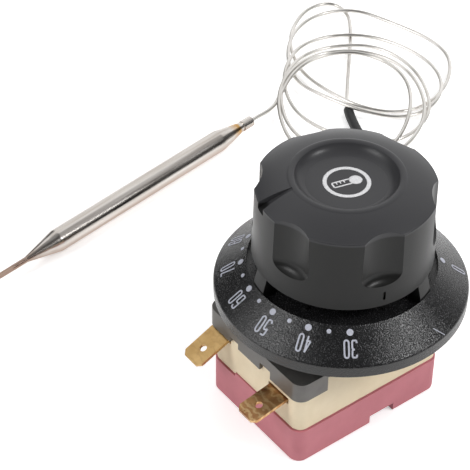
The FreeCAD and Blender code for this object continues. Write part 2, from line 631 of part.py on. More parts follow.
def make_bracket():
    bracket = body("BracketBody")
    half = cream_half + seat_gap + flange_wall
    front = cream_front + seat_gap + flange_wall
    low = plate_top - plate_thick - flange_drop
    block = outline(bracket, "BracketOutline", "XY", rectangle(-half, -front, half, cream_back), low)
    block_pad = pad(bracket, block, plate_top - low, "BracketBlock")
    round_edges(bracket, block_pad, body_round, lambda edge: upright(edge) and edge.BoundBox.YMax < 0, "BracketCorners")
    hollow = outline(bracket, "BracketHollow", "XY", rectangle(
        -cream_half - seat_gap, -cream_front - seat_gap, cream_half + seat_gap, cream_back + 1.0), low)
    pocket(bracket, hollow, flange_drop, True, "BracketFold")
    sides = outline(bracket, "SideTrim", "XY", rectangle(
        -half - 1.0, -front + flange_side, half + 1.0, cream_back + 1.0), low)
    pocket(bracket, sides, flange_drop, True, "SideTrimCut")
    for name, x0, x1, rise in (("GapLeft", -gap_left, -gap_left_end, gap_left_rise),
                               ("GapRight", gap_right, gap_right_end, gap_right_rise)):
        gap = outline(bracket, name, "XY", rectangle(x0, -front - 1.0, x1, -cream_front + 1.0), low)
        pocket(bracket, gap, rise, True, name + "Cut")
    holes = circles(bracket, "BracketHoles", "XY", [
        (0.0, 0.0, bush_radius + clearance), (0.0, mount_pitch / 2, mount_radius), (0.0, -mount_pitch / 2, mount_radius),
        (screw_across, screw_back, screw_radius), (-screw_across, screw_back, screw_radius)], plate_top)
    pocket(bracket, holes, plate_thick, name="BracketHolesCut")
    return keep(bracket, "mounting_bracket")


def make_upper_housing():
    cream = body("CreamBody")
    block = outline(cream, "CreamOutline", "XY", rectangle(
        -cream_half, -cream_front, cream_half, cream_back), base_height)
    block_pad = pad(cream, block, cream_height, "CreamBlock")
    rounded = round_edges(cream, block_pad, body_round - cream_inset, upright, "CreamCorners")
    chamfer = cream.newObject("PartDesign::Chamfer", "Seam")
    chosen = ["Edge%d" % (i + 1) for i, edge in enumerate(rounded.Shape.Edges) if at_height(base_height)(edge)]
    chamfer.Base = (rounded, chosen)
    bind(chamfer, "Size", seam_cut)
    cream.Tip = chamfer
    doc.recompute()
    cavity = outline(cream, "CreamCavity", "XY", rectangle(
        -cream_half + cream_wall, -cream_front + cream_wall, cream_half - cream_wall,
        cream_back - cream_block), base_height)
    pocket(cream, cavity, cream_height - cream_roof, True, "CavityCut")
    land = outline(cream, "LandNotch", "XY", rectangle(
        -land_left - seat_gap, -cream_front - 1.0, land_right + seat_gap,
        -body_front + land_thick + seat_gap), base_height)
    pocket(cream, land, land_rise + seat_gap, True, "LandNotchCut")
    for name, across, height, half in (("LeftSlot", left_across, left_height, shank_width / 2),
                                       ("RightSlot", right_across, right_height, tab_width / 2)):
        middle = across + (tab_width - shank_width) / 2 if name == "LeftSlot" else across
        slot = outline(cream, name, "XZ", rectangle(
            middle - half - slot_gap, height - tab_thick / 2 - slot_gap,
            middle + half + slot_gap, height + tab_thick / 2 + slot_gap), cream_front + 1.0)
        pocket(cream, slot, cream_wall + 2.0, False, name + "Cut")
    for name, x0, x1 in (("PostRight", lever_half + post_gap, pivot_half),
                         ("PostLeft", -pivot_half, -lever_half - post_gap)):
        post = outline(cream, name, "XY", rectangle(
            x0, pivot_back - post_half, x1, pivot_back + post_half), lever_low - post_sink)
        pad(cream, post, roof_low - lever_low + post_sink, name + "Pad")
    for name, x0, x1 in (("GuideRight", nut_half + seat_gap, nut_half + seat_gap + guide_thick),
                         ("GuideLeft", -nut_half - seat_gap - guide_thick, -nut_half - seat_gap)):
        guide = outline(cream, name, "XY", rectangle(x0, -guide_half, x1, guide_half), lever_top)
        pad(cream, guide, roof_low - lever_top, name + "Pad")
    pivot = circles(cream, "PivotHole", "YZ", [(pivot_back, lever_low + lever_thick / 2, pivot_radius)], pivot_half + 0.5)
    pocket(cream, pivot, pivot_half * 2 + 1.0, False, "PivotHoleCut")
    holes = circles(cream, "RoofHoles", "XY", [
        (0.0, 0.0, bush_flange + seat_gap), (screw_across, screw_back, screw_radius + seat_gap),
        (-screw_across, screw_back, screw_radius + seat_gap)], cream_top)
    pocket(cream, holes, cream_height, name="RoofHolesCut")
    relief = circles(cream, "MountRelief", "XY", [
        (0.0, mount_pitch / 2, mount_radius + relief_gap), (0.0, -mount_pitch / 2, mount_radius + relief_gap)],
        cream_top)
    pocket(cream, relief, cream_roof, name="MountReliefCut")
    return keep(cream, "upper_housing")


def make_base_housing():
    pink = body("PinkBody")
    block = outline(pink, "PinkOutline", "XY", rectangle(-body_half, -body_front, body_half, body_back))
    block_pad = pad(pink, block, base_height, "PinkBlock")
    rounded = round_edges(pink, block_pad, body_round, upright, "PinkCorners")
    round_edges(pink, rounded, foot_round, at_height(0.0), "FootFillet")
    land = outline(pink, "Land", "XY", rectangle(
        -land_left, -body_front, land_right, -body_front + land_thick), base_height)
    pad(pink, land, land_rise, "LandPad")
    cover = outline(pink, "CoverSeat", "XY", rectangle(
        -body_half + cover_margin, -body_front + cover_margin, body_half - cover_margin, body_back - cover_margin))
    pocket(pink, cover, cover_thick, True, "CoverSeatCut")
    recess = circles(pink, "Recess", "XY", [(0.0, -recess_shift, recess_radius)])
    pocket(pink, recess, base_height - deck_thick, True, "RecessCut")
    push = circles(pink, "PushHole", "XY", [(0.0, -recess_shift, push_radius + clearance)])
    pocket(pink, push, base_height, True, "PushHoleCut")
    for name, across in (("ScrewRight", screw_across), ("ScrewLeft", -screw_across)):
        hole = circles(pink, name, "XY", [(across, screw_back, screw_radius + seat_gap)])
        pocket(pink, hole, base_height, True, name + "Hole")
        head = circles(pink, name + "Head", "XY", [(across, screw_back, screw_head + seat_gap)])
        pocket(pink, head, cover_thick + head_thick + seat_gap * 2, True, name + "HeadCut")
    side = outline(pink, "SideNotch", "XY", rectangle(
        body_half - cover_margin - 3.0, -notch_near, body_half + 1.0, notch_far))
    pocket(pink, side, notch_rise, True, "SideNotchCut")
    way_out = outline(pink, "ExitNotch", "XY", rectangle(
        exit_across - exit_width / 2, 0.0, exit_across + exit_width / 2, body_back + 1.0))
    pocket(pink, way_out, exit_height + sleeve_radius + exit_gap, True, "ExitNotchCut")
    pin = circles(pink, "PinHole", "XY", [(body_half - pin_in, pin_along, pin_radius)])
    pocket(pink, pin, notch_rise + pin_seat, True, "PinHoleCut")
    return keep(pink, "base_housing")


def make_terminal(side, across, height, bend, reach_in, shank, shank_shift):
    """Push-on tab bent down outside the housing, with its strip inside."""
    tab = body(side + "Tab")
    half = tab_width / 2
    shape = outline(tab, side + "TabOutline", "XY", [
        (-half, 0.0), (-half, -tab_length + tab_bevel), (-half + tab_bevel, -tab_length),
        (half - tab_bevel, -tab_length), (half, -tab_length + tab_bevel), (half, 0.0)], -tab_thick / 2)
    pad(tab, shape, tab_thick, side + "TabPad")
    hole = circles(tab, side + "TabHole", "XY", [(0.0, tab_hole_in - tab_length, tab_hole)], tab_thick / 2)
    pocket(tab, hole, tab_thick, name=side + "TabHoleCut")
    bend_at = -cream_front - tab_root
    place(tab, across, bend_at, height, (1, 0, 0), bend)
    root = cylinder(side + "Bend", tab_thick / 2, tab_width, across - half, bend_at, height, (0, 1, 0), 90.0)
    middle = across + shank_shift
    strip = box(side + "Strip", middle - shank / 2, bend_at, height - tab_thick / 2,
                middle + shank / 2, -reach_in, height + tab_thick / 2)
    return fuse(side + "Terminal", tab, root, strip)


def make_switch():
    keep(make_terminal("Left", left_across, left_height, left_bend, contact_line - strip_reach,
                       shank_width, (tab_width - shank_width) / 2), "terminal_left")
    keep(make_terminal("Right", right_across, right_height, right_bend, contact_line - strip_reach,
                       tab_width, 0.0), "terminal_right")
    fixed_low = right_height + tab_thick / 2
    keep(cylinder("FixedContact", contact_radius, contact_thick, right_across, -contact_line, fixed_low),
         "fixed_contact")
    keep(cylinder("MovingContact", contact_radius, contact_thick + 0.1, right_across, -contact_line,
                  arm_low - contact_thick - 0.1), "moving_contact")
    arm_left = left_across + (tab_width - shank_width) / 2 - shank_width / 2
    leaf = box("ArmLeaf", arm_left, -contact_line - arm_width / 2, arm_low, right_across + contact_radius,
               -contact_line + arm_width / 2, arm_low + arm_thick)
    bead = cylinder("ArmBead", bead_radius, arm_width, bead_across, -contact_line - arm_width / 2,
                    arm_low + arm_thick / 2, (1, 0, 0), -90.0)
    keep(fuse("ContactArm", leaf, bead), "contact_arm")
    arm_top = arm_low + arm_thick
    arch = cylinder("SnapArch", arch_radius, arm_width / 2, arch_across, -contact_line - arm_width / 4,
                    arm_top - arch_sink, (1, 0, 0), -90.0)
    arch_bore = cylinder("SnapArchBore", arch_radius - arm_thick, arm_width, arch_across,
                         -contact_line - arm_width / 2, arm_top - arch_sink, (1, 0, 0), -90.0)
    trim = box("SnapTrim", arch_across - arch_radius * 2, -contact_line - arm_width, arm_top - arch_radius * 2,
               arch_across + arch_radius * 2, -contact_line + arm_width, arm_top)
    keep(cut("SnapSpring", cut("SnapArchRing", arch, arch_bore), trim), "snap_spring")


def make_lever_train():
    nut = box("NutBlock", -nut_half, -nut_depth / 2, nut_low, nut_half, nut_depth / 2, nut_low + nut_height)
    bore = cylinder("NutThread", thread_radius + clearance, nut_height, 0.0, 0.0, nut_low + nut_floor)
    keep(cut("AdjustingNut", nut, bore), "adjusting_nut")
    bar = box("LeverBar", -lever_half, -contact_line - button_radius, lever_low,
              lever_half, pivot_back + lever_tail, lever_top)
    hole = cylinder("LeverBore", pivot_radius + clearance, lever_half * 4, -lever_half * 2, pivot_back,
                    lever_low + lever_thick / 2, (0, 1, 0), 90.0)
    screw_hole = cylinder("LeverScrewHole", calibration_radius, lever_thick * 3, 0.0, 0.0,
                          lever_low - lever_thick)
    keep(cut("Lever", cut("LeverPivoted", bar, hole), screw_hole), "switch_lever")
    shank = cylinder("CalibrationShank", calibration_radius, lever_thick + calibration_end, 0.0, 0.0,
                     lever_low - calibration_end)
    head = cylinder("CalibrationHead", calibration_head, nut_gap - calibration_gap, 0.0, 0.0, lever_top)
    keep(fuse("CalibrationScrew", shank, head), "calibration_screw")
    keep(cylinder("PivotPin", pivot_radius, pivot_half * 2, -pivot_half, pivot_back,
                  lever_low + lever_thick / 2, (0, 1, 0), 90.0), "lever_pivot_pin")
    keep(cylinder("LeverButton", button_radius, arm_low - lever_top - button_gap, 0.0, -contact_line, lever_top),
         "lever_button")
    keep(cylinder("PushPin", push_radius, lever_low - capsule_boss - push_gap - 0.05, 0.0, -recess_shift,
                  capsule_boss + push_gap), "push_pin")


def make_base_parts():
    cover = body("CoverBody")
    outer = outline(cover, "CoverOutline", "XY", rectangle(
        -body_half + cover_margin, -body_front + cover_margin, body_half - cover_margin, body_back - cover_margin))
    pad(cover, outer, cover_thick, "CoverPad")
    keep(cover, "base_cover")
    capsule = body("CapsuleBody")
    low = cover_thick
    rise = low + capsule_thick
    rings = [(0.9, 0.0), (0.78, 0.55), (0.66, -0.25), (0.54, 0.55), (0.42, -0.25)]
    corners = [(0.0, low), (capsule_radius, low), (capsule_radius, rise)]
    corners += [(capsule_radius * share, rise + lift) for share, lift in rings]
    corners += [(capsule_radius * 0.3, rise + 0.3), (push_radius + 0.6, rise + 0.3),
                (push_radius + 0.6, capsule_boss), (0.0, capsule_boss)]
    revolve(capsule, outline(capsule, "CapsuleProfile", "XZ", corners), name="CapsuleTurned")
    place(capsule, 0.0, -recess_shift, 0.0)
    inlet = cylinder("CapsuleInlet", capillary_radius, body_back - 4.0, exit_across, 4.0, exit_height,
                     (1, 0, 0), -90.0)
    keep(fuse("DiaphragmCapsule", capsule, inlet), "diaphragm_capsule")
    heads = []
    for name, across in (("ScrewA", screw_across), ("ScrewB", -screw_across)):
        shank = cylinder(name + "Shank", screw_radius, plate_top - cover_thick - 0.4, across, screw_back,
                         cover_thick + 0.2)
        head = cylinder(name + "HeadDisc", screw_head, head_thick, across, screw_back, cover_thick + 0.2)
        heads.append(fuse(name, shank, head))
    pair = doc.addObject("Part::Compound", "ClampScrews")
    pair.Links = heads
    keep(pair, "clamp_screws")
    keep(cylinder("NotchPin", pin_radius, pin_length, body_half - pin_in, pin_along,
                  notch_rise + pin_seat - pin_length), "notch_pin")


def make_bulb():
    bulb = body("BulbBody")
    half = bulb_length / 2
    tail = half + tail_cone
    profile = outline(bulb, "BulbProfile", "XY", [
        (0.0, -tail - tail_length), (tail_radius, -tail - tail_length), (tail_radius, -tail),
        (bulb_radius, -half), (bulb_radius, half), (neck_radius, half + neck_cone), (0.0, half + neck_cone)])
    turned = revolve(bulb, profile, name="BulbTurned")
    round_edges(bulb, turned, shoulder_bend, lambda edge: edge.Curve.TypeId == "Part::GeomCircle"
                and abs(edge.Curve.Radius - bulb_radius.value) < 1e-3, "BulbShoulders")
    for name, side in (("PinchOver", 1), ("PinchUnder", -1)):
        flat = outline(bulb, name, "YZ", [
            (-tail - tail_length * 1.1, pinch_half * side), (-tail - tail_length * 0.45, pinch_half * side),
            (-tail - tail_length * 0.35, tail_radius * (2 * side)), (-tail - tail_length * 1.1, tail_radius * (2 * side))],
            -tail_radius * 2)
        pocket(bulb, flat, tail_radius * 4, True, name + "Cut")
    place(bulb, bulb_across, bulb_along, bulb_radius, (0, 0, 1), bulb_turn)
    keep(bulb, "sensor_bulb")


def bulb_point(along):
    """Point on the bulb's axis, that far from its middle towards the capillary."""
    turn = math.radians(bulb_turn.value)
    return V(bulb_across.value - along * math.sin(turn), bulb_along.value + along * math.cos(turn), bulb_radius.value)


def rounded_path(points, label):
    """Straight runs joined by tangent arcs as large as the runs allow."""
    edges = []
    start = points[0]
    radii = []
    for before, corner, after in zip(points, points[1:], points[2:]):
        back, ahead = before - corner, after - corner
        turn = math.pi - back.getAngle(ahead)
        reach = 0.45 * min(back.Length, ahead.Length)
        radii.append(reach / math.tan(turn / 2))
        first = corner + back.normalize() * reach
        last = corner + ahead.normalize() * reach
        middle_way = (first + last) * 0.5 - corner
        depth = radii[-1] * (1 / math.cos(turn / 2) - 1)
        middle = corner + middle_way.normalize() * depth
        edges += [Part.LineSegment(start, first).toShape(), Part.Arc(first, middle, last).toShape()]
        start = last
    edges.append(Part.LineSegment(start, points[-1]).toShape())
    path = Part.Wire(edges)
    print(label, "length %.1f" % path.Length, "radii", [round(radius, 1) for radius in radii])
    return path


def swept(path, radius):
    """Round bar along a path, checked against its section times its length."""
    start = path.Edges[0]
    ring = Part.Circle(start.valueAt(start.FirstParameter), start.tangentAt(start.FirstParameter), radius)
    shape = path.makePipeShell([Part.Wire(ring.toShape())], True, False)
    ideal = math.pi * radius ** 2 * path.Length
    if abs(shape.Volume - ideal) > 0.01 * ideal:
        raise RuntimeError("a swept bar has volume %.2f, not %.2f" % (shape.Volume, ideal))
    return shape


def make_capillary():
    leave = V(exit_across.value, body_back.value, exit_height.value)
    route = [leave, leave + V(0, 9, 0), V(-11, 38, 1.6), V(-22, 49, 1.42), V(-38, 56.5, 1.4),
             V(-56, 61, 1.4), V(-71, 65.5, 1.42), V(-86, 73.5, 1.4)]
    covered = route[:-1] + [(route[-2] + route[-1]) * 0.5]
    path = rounded_path(covered, "sleeve")
    lead = doc.addObject("Part::Feature", "Lead")
    lead.Shape = swept(path, capillary_radius.value)
    keep(lead, "capillary_lead")
    bore = swept(path, sleeve_radius.value - sleeve_wall.value)
    sleeve = doc.addObject("Part::Feature", "Sleeve")
    sleeve.Shape = swept(path, sleeve_radius.value).cut(bore)
    keep(sleeve, "insulating_sleeve")

    far, near = V(coil_far_x.value, coil_far_y.value, 0), V(coil_near_x.value, coil_near_y.value, 0)
    along = near - far
    lean = math.asin((coil_big.value - coil_small.value) / along.Length)
    heading = math.atan2(along.y, along.x)
    points = {}
    for side in (1, -1):
        angle = heading + side * (math.pi / 2 - lean)
        way = V(math.cos(angle), math.sin(angle), 0)
        points[side] = (far + way * coil_big.value, near + way * coil_small.value)
    ahead = V(math.cos(heading), math.sin(heading), 0)
    shape = Part.Wire([
        Part.LineSegment(points[1][0], points[1][1]).toShape(),
        Part.Arc(points[1][1], near + ahead * coil_small.value, points[-1][1]).toShape(),
        Part.LineSegment(points[-1][1], points[-1][0]).toShape(),
        Part.Arc(points[-1][0], far - ahead * coil_big.value, points[1][0]).toShape()])
    pancake = Part.Face(shape).extrude(V(0, 0, coil_height.value))
    tunnel = swept(path, sleeve_radius.value + 0.3)
    pancake = pancake.cut(tunnel.fuse(tunnel.translated(V(0, 0, -1.2))))
    coil = doc.addObject("Part::Feature", "Coil")
    coil.Shape = pancake
    keep(coil, "capillary_coil")

    collar_start = bulb_length.value / 2 + neck_cone.value
    collar = doc.addObject("Part::Feature", "BrazeCollar")
    neck = bulb_point(collar_start)
    joint = bulb_point(collar_start + collar_length.value)
    collar.Shape = Part.makeCylinder(collar_radius.value, collar_length.value, neck, joint - neck)
    keep(collar, "braze_collar")
    end_path = rounded_path([joint, bulb_point(collar_start + collar_length.value + 2.4),
                             V(-90.9, 50.0, 2.2)], "end")
    end = doc.addObject("Part::Feature", "CapillaryEnd")
    end.Shape = swept(end_path, capillary_radius.value)
    keep(end, "capillary_end")


make_knob_grip()
make_dial_ring()
make_shaft()
make_bracket()
make_upper_housing()
make_base_housing()
make_switch()
make_lever_train()
make_base_parts()
make_bulb()
make_capillary()
doc.recompute()

for item in doc.Objects:
    if "Invalid" in item.State or "Error" in item.State:
        raise RuntimeError("%s failed: %s" % (item.Name, item.State))
os.makedirs("parts", exist_ok=True)
for label, item in nodes.items():
    if item.Shape.isNull() or not item.Shape.isValid():
        raise RuntimeError("%s has no valid shape" % label)
    item.Shape.exportStep("parts/%s.step" % label)
    print("%-20s solids %d volume %.1f" % (label, len(item.Shape.Solids), item.Shape.Volume))
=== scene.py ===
import bpy, bmesh, math
from mathutils import Vector, Matrix, Euler


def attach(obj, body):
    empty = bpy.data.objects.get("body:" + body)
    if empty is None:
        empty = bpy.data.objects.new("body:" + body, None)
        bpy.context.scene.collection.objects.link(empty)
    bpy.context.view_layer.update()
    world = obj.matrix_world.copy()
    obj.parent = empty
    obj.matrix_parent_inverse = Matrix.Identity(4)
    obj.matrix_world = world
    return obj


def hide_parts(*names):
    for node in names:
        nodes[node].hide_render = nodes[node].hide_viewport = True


# frame
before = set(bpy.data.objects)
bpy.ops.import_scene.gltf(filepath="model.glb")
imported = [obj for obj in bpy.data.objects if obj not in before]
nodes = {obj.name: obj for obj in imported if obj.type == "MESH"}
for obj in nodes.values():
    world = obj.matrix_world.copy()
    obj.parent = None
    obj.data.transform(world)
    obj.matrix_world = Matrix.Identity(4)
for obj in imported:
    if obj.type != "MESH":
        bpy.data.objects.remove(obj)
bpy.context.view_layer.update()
scene = bpy.context.scene
print("frame loaded:", len(nodes), "nodes")

mm = 0.001  # sizes and places below are in millimetres, angles in degrees, colours 0-255 as on screen


def link(obj):
    scene.collection.objects.link(obj)
    return obj


def evaluatedMesh(obj):
    bpy.context.view_layer.update()
    return bpy.data.meshes.new_from_object(obj.evaluated_get(bpy.context.evaluated_depsgraph_get()))


def linear(color):  # a screen colour as the linear one that a socket wants
    shares = [c / 255 for c in color]
    return tuple(s / 12.92 if s < 0.04045 else ((s + 0.055) / 1.055) ** 2.4 for s in shares) + (1.0,)


# camera, from a fit to the dial's ellipses and the base's corners
camera = {
    "place": (221.52, -198.30, 300.33),
    "turn": (48.809, -0.671, 52.738),
    "lens": 134.9,
    "sensor": 36,
    "shift": (-0.0327, 0.0276),
    "clip": (20, 20000),
}
camData = bpy.data.cameras.new("studioCamera")
camData.lens = camera["lens"]
camData.sensor_width = camera["sensor"]
camData.shift_x, camData.shift_y = camera["shift"]
camData.clip_start, camData.clip_end = [v * mm for v in camera["clip"]]
cam = link(bpy.data.objects.new("studioCamera", camData))
cam.location = [v * mm for v in camera["place"]]
cam.rotation_euler = Euler([math.radians(a) for a in camera["turn"]], "XYZ")
scene.camera = cam


# capillary: from the base through the sleeve, five loose turns, then to the bulb
capillary = {
    "radius": 0.55,
    "lead": [(-6, 17.95, 2.3), (-6, 26.95, 2.3), (-11, 38, 1.6), (-22, 49, 1.42), (-38, 56.5, 1.4),
             (-56, 61, 1.4), (-71, 65.5, 1.42), (-80.5, 70.2, 1.4)],
    "crossing": [(-88.6, 77.2, 1.2), (-98.4, 86.0, 0.8), (-107.9, 94.6, 0.7), (-117.1, 101.5, 0.9),
                 (-124.7, 100.8, 1.4), (-126.0, 91.9, 1.9), (-119.9, 81.3, 1.9), (-112.1, 74.6, 1.6)],
    "loopA": [(-101.4, 70.4, 1.2), (-89.5, 69.2, 2.7), (-78.2, 71.6, 2.4), (-70.4, 78.9, 1.2),
              (-67.6, 89.0, 0.8), (-71.9, 101.2, 0.8), (-81.1, 110.9, 0.8), (-91.8, 112.8, 0.8),
              (-106.0, 108.1, 1.4), (-116.8, 102.8, 2.4), (-121.0, 91.2, 2.6), (-117.4, 79.8, 2.8)],
    "loopB": [(-109.1, 70.8, 2.6), (-98.2, 65.4, 2.0), (-86.8, 66.0, 3.5), (-74.8, 70.8, 3.0),
              (-66.6, 78.1, 2.0), (-65.0, 87.9, 1.7), (-70.3, 98.2, 1.6), (-80.5, 103.7, 1.6),
              (-92.3, 102.3, 2.3), (-103.9, 97.5, 2.0), (-110.8, 88.4, 1.7), (-111.1, 77.7, 2.4)],
    "loopC": [(-105.3, 67.8, 3.4), (-96.9, 60.1, 2.8), (-85.0, 55.4, 2.6), (-72.2, 56.8, 3.2),
              (-61.5, 63.4, 2.4), (-58.4, 74.1, 2.2), (-62.3, 85.9, 2.5), (-72.9, 93.8, 2.4),
              (-85.5, 97.8, 2.3), (-97.5, 95.0, 2.9), (-105.1, 85.2, 2.5), (-106.1, 74.3, 3.1)],
    "loopD": [(-100.4, 63.5, 4.1), (-93.2, 55.8, 3.4), (-81.0, 49.4, 2.6), (-68.0, 50.2, 2.4),
              (-57.8, 58.2, 1.8), (-55.3, 70.4, 1.6), (-61.6, 83.8, 3.3), (-73.8, 92.0, 3.2),
              (-85.6, 94.9, 3.1), (-96.8, 89.9, 3.6), (-103.3, 80.1, 3.3), (-102.6, 70.0, 3.9)],
    "loopE": [(-97.6, 59.6, 4.0), (-88.6, 51.6, 3.2), (-76.0, 46.2, 1.9), (-63.6, 48.6, 1.2),
              (-56.6, 58.3, 1.1), (-59.0, 71.7, 2.5), (-67.3, 83.2, 4.0), (-78.1, 90.7, 3.9),
              (-89.1, 91.6, 3.8), (-98.1, 86.2, 4.2), (-102.0, 75.6, 4.1)],
    "tail": [(-99.6, 65.3, 4.0), (-93.9, 56.7, 3.4), (-90.6, 51.5, 3.0)],
    "runIn": 2.4,  # from the last bend to the collar
}
bulb = {
    "middle": (-83.1, 1.0, 3.05),
    "turn": 8.8,
    "joint": 42.3,  # middle to the collar's far end, along the axis
}


def bulbPoint(along):
    turn = math.radians(bulb["turn"])
    x, y, z = bulb["middle"]
    return (x - along * math.sin(turn), y + along * math.cos(turn), z)


def splineCurve(name, points, radius=0.0, closed=False, steps=8, roundness=4):  # one smooth NURBS line
    curve = bpy.data.curves.new(name, "CURVE")
    curve.dimensions = "3D"
    curve.bevel_depth = radius * mm
    curve.bevel_resolution = roundness
    curve.resolution_u = steps
    curve.use_fill_caps = True
    line = curve.splines.new("NURBS")
    line.points.add(len(points) - 1)
    for place, (x, y, z) in zip(line.points, points):
        place.co = (x * mm, y * mm, z * mm, 1)
    line.order_u = 3
    line.use_cyclic_u = closed
    line.use_endpoint_u = not closed
    return link(bpy.data.objects.new(name, curve))


def splinePoints(points):  # points read from that line
    probe = splineCurve("probe", points, steps=16)
    mesh = evaluatedMesh(probe)
    path = [v.co.copy() for v in mesh.vertices]
    bpy.data.meshes.remove(mesh)
    bpy.data.objects.remove(probe)
    return path


capillaryRoute = []
for part in ("lead", "crossing", "loopA", "loopB", "loopC", "loopD", "loopE", "tail"):
    capillaryRoute += capillary[part]
capillaryRoute += [bulbPoint(bulb["joint"] + capillary["runIn"]), bulbPoint(bulb["joint"])]
capillaryPath = splinePoints(capillaryRoute)

capillaryWire = splineCurve("capillaryWire", capillaryRoute, capillary["radius"])


# shader helpers
wideNoise = (0.3, 0.7)  # the range that a noise mostly fills
tightNoise = (0.35, 0.65)  # its middle, for firmer patches


def newMaterial(name):
    mat = bpy.data.materials.new(name)
    mat.use_nodes = True
    tree = mat.node_tree
    return mat, tree, tree.nodes["Principled BSDF"]


def texCoord(tree, name="Object"):
    return tree.nodes.new("ShaderNodeTexCoord").outputs[name]


def splitAxes(tree, vector):
    node = tree.nodes.new("ShaderNodeSeparateXYZ")
    tree.links.new(vector, node.inputs["Vector"])
    return node.outputs


def noise(tree, vector, scale, detail):
    node = tree.nodes.new("ShaderNodeTexNoise")
    node.inputs["Scale"].default_value = scale
    node.inputs["Detail"].default_value = detail
    tree.links.new(vector, node.inputs["Vector"])
    return node.outputs["Fac"]


def mapValue(tree, value, fromRange, toRange=(0.0, 1.0)):
    node = tree.nodes.new("ShaderNodeMapRange")
    for key, number in zip(("From Min", "From Max", "To Min", "To Max"), (*fromRange, *toRange)):
        node.inputs[key].default_value = number
    tree.links.new(value, node.inputs["Value"])
    return node.outputs["Result"]


def mathNode(tree, operation, a, b):
    node = tree.nodes.new("ShaderNodeMath")
    node.operation = operation
    tree.links.new(a, node.inputs[0])
    tree.links.new(b, node.inputs[1])
    return node.outputs[0]


def mixColor(tree, factor, under, over):  # under is a colour, or what is painted so far
    node = tree.nodes.new("ShaderNodeMix")
    node.data_type = "RGBA"
    if isinstance(under, bpy.types.NodeSocket):
        tree.links.new(under, node.inputs["A"])
    else:
        node.inputs["A"].default_value = linear(under)
    node.inputs["B"].default_value = linear(over)
    tree.links.new(factor, node.inputs["Factor"])
    return node.outputs["Result"]


def fillShader(tree, shader, color, patches, grain, look):  # roughness by patches, bump by grain
    tree.links.new(color, shader.inputs["Base Color"])
    tree.links.new(mapValue(tree, patches, wideNoise, look["rough"]), shader.inputs["Roughness"])
    bump = tree.nodes.new("ShaderNodeBump")
    bump.inputs["Strength"].default_value = look["bump"]
    bump.inputs["Distance"].default_value = look["depth"] * mm
    tree.links.new(grain, bump.inputs["Height"])
    tree.links.new(bump.outputs["Normal"], shader.inputs["Normal"])
    shader.inputs["Metallic"].default_value = look.get("metal", 0.0)
    shader.inputs["Specular IOR Level"].default_value = look.get("specular", 0.5)


def makeSurfaceGroup():  # fine grain and slow blotches
    group = bpy.data.node_groups.new("finishGrain", "ShaderNodeTree")
    start = group.nodes.new("NodeGroupInput")
    end = group.nodes.new("NodeGroupOutput")
    coord = texCoord(group)
    for name, scale, detail in (("Grain", 3000.0, 1.0), ("Blotch", 120.0, 4.0)):
        socket = group.interface.new_socket(name + " Scale", in_out="INPUT", socket_type="NodeSocketFloat")
        socket.default_value = scale
        group.interface.new_socket(name, in_out="OUTPUT", socket_type="NodeSocketFloat")
        texture = group.nodes.new("ShaderNodeTexNoise")
        texture.inputs["Detail"].default_value = detail
        group.links.new(coord, texture.inputs["Vector"])
        group.links.new(start.outputs[name + " Scale"], texture.inputs["Scale"])
        group.links.new(texture.outputs["Fac"], end.inputs[name])
    return group


surfaceGroup = makeSurfaceGroup()


def surface(tree, grainScale, blotchScale):
    node = tree.nodes.new("ShaderNodeGroup")
    node.node_tree = surfaceGroup
    node.inputs["Grain Scale"].default_value = grainScale
    node.inputs["Blotch Scale"].default_value = blotchScale
    return node.outputs["Grain"], node.outputs["Blotch"]


